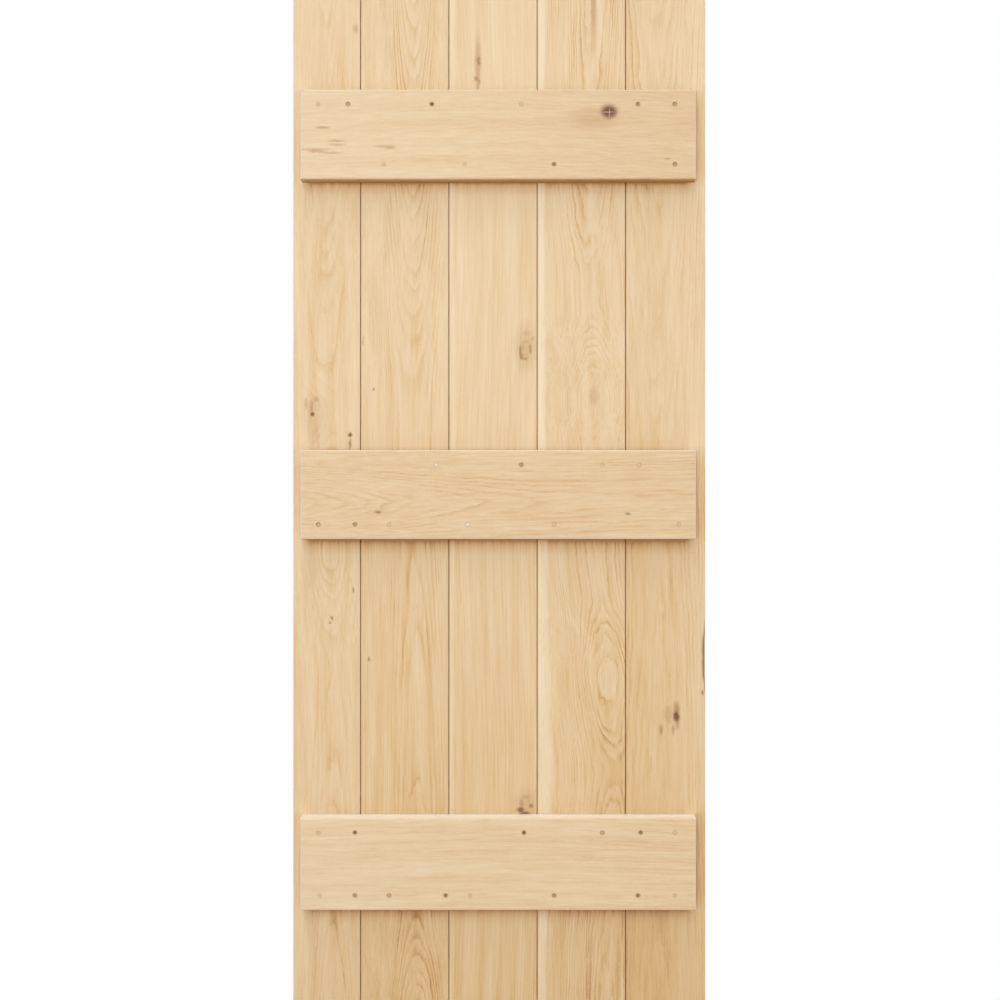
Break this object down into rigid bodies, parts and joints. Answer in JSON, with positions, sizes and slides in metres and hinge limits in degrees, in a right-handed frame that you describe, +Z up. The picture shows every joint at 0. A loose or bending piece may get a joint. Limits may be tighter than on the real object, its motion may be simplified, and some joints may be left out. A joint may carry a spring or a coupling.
{
  "type": "ledged barn door leaf",
  "caption": "Solid oak ledged door leaf: upright tongue-and-groove boards of mixed width held by nailed cross ledges, to be hung in an opening on strap hinges or a sliding track.",
  "frame": {"origin": "bottom edge of the leaf, under the middle of its box", "axes": "+Z up the boards, +X to the right as seen from the ledge side, the ledges face -Y and the board side faces +Y"},
  "size_m": [0.762, 0.05, 1.981],
  "materials": {
    "oak_boards": "planed and sanded, no varnish, satin",
    "oak_ledges": "planed and sanded, no varnish, satin",
    "steel_nails": "dull steel, stained by the tannin of the oak",
    "wood_filler": "matt, sanded flush",
    "pale_filler": "matt, sanded flush"
  },
  "bodies": {
    "root": {"left_edge_board": "oak_boards", "left_inner_board": "oak_boards", "middle_board": "oak_boards", "right_inner_board": "oak_boards", "right_edge_board": "oak_boards", "top_ledge": "oak_ledges", "middle_ledge": "oak_ledges", "bottom_ledge": "oak_ledges", "top_ledge_nails": "steel_nails", "middle_ledge_nails": "steel_nails", "bottom_ledge_nails": "steel_nails", "top_ledge_filler": "wood_filler", "middle_ledge_filler": "wood_filler", "middle_ledge_white_filler": "pale_filler", "bottom_ledge_filler": "wood_filler"}
  },
  "joints": []
}
